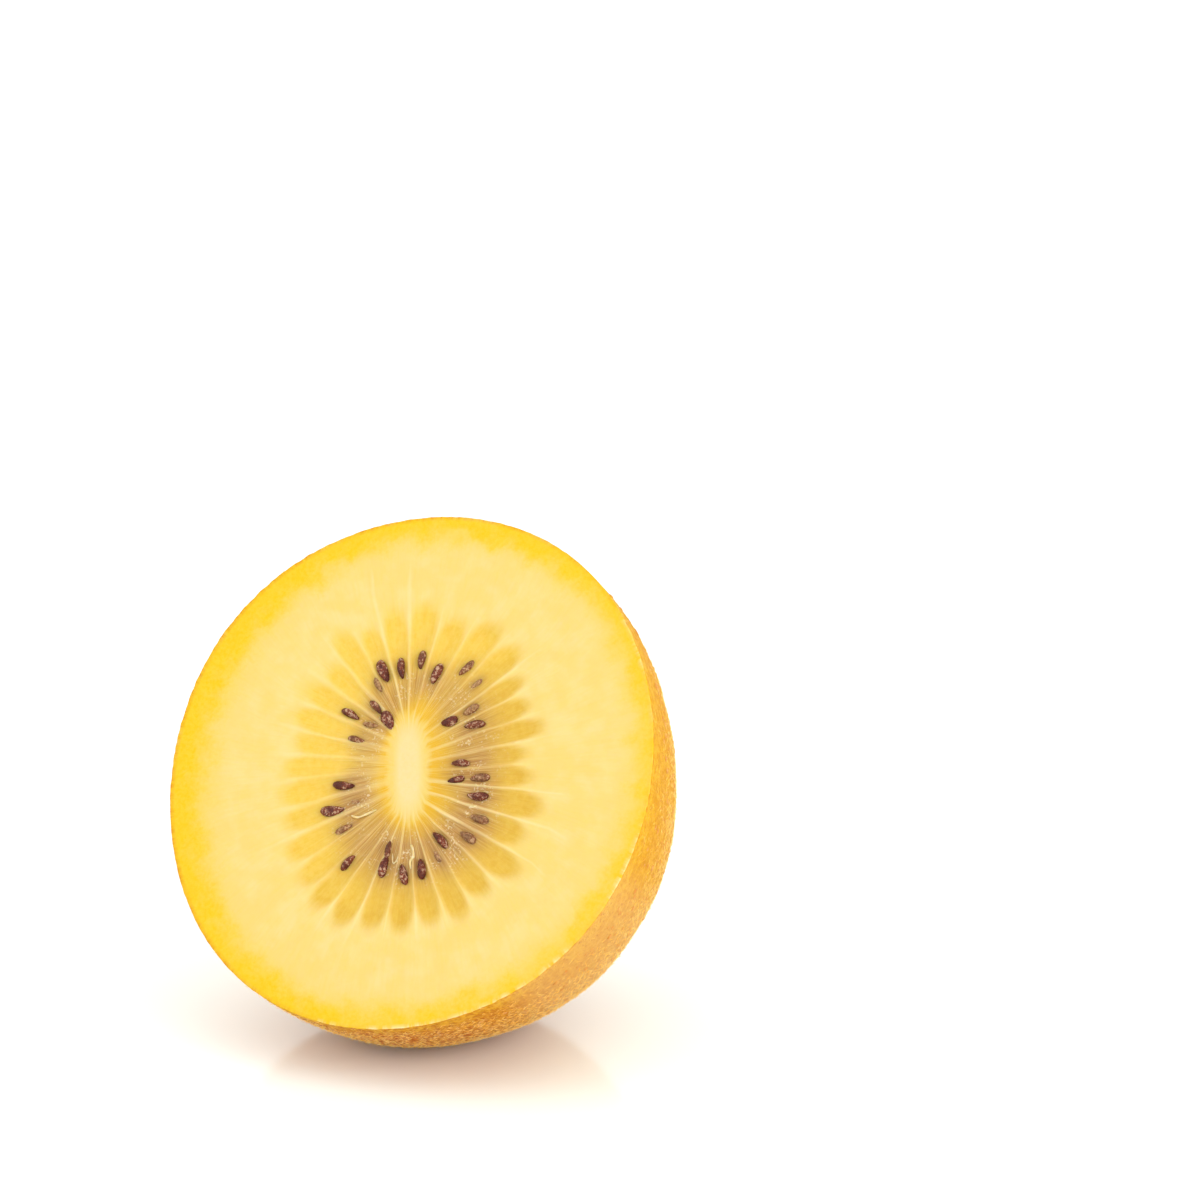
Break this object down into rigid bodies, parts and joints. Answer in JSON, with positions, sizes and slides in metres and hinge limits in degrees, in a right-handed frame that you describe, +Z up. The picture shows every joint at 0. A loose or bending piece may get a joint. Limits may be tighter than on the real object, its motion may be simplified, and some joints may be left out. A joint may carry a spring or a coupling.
{
  "type": "golden kiwi fruit half",
  "caption": "Golden kiwi fruit cut across its middle, lying on its side with the cut face tilted up: pale core, ring of seed chambers, thin bronze skin and a small stalk scar.",
  "frame": {"origin": "middle of the small flat that the fruit rests on", "axes": "+Z up; the cut face looks towards -Y and 32 degrees above the horizon; +X is to the right of the cut face seen from its front; the stem end points towards +Y and down"},
  "size_m": [0.0506, 0.0463, 0.051],
  "materials": {
    "flesh": "satin",
    "skin": "satin",
    "seeds": "gloss"
  },
  "bodies": {
    "root": {"kiwi_half": "flesh"}
  },
  "joints": []
}
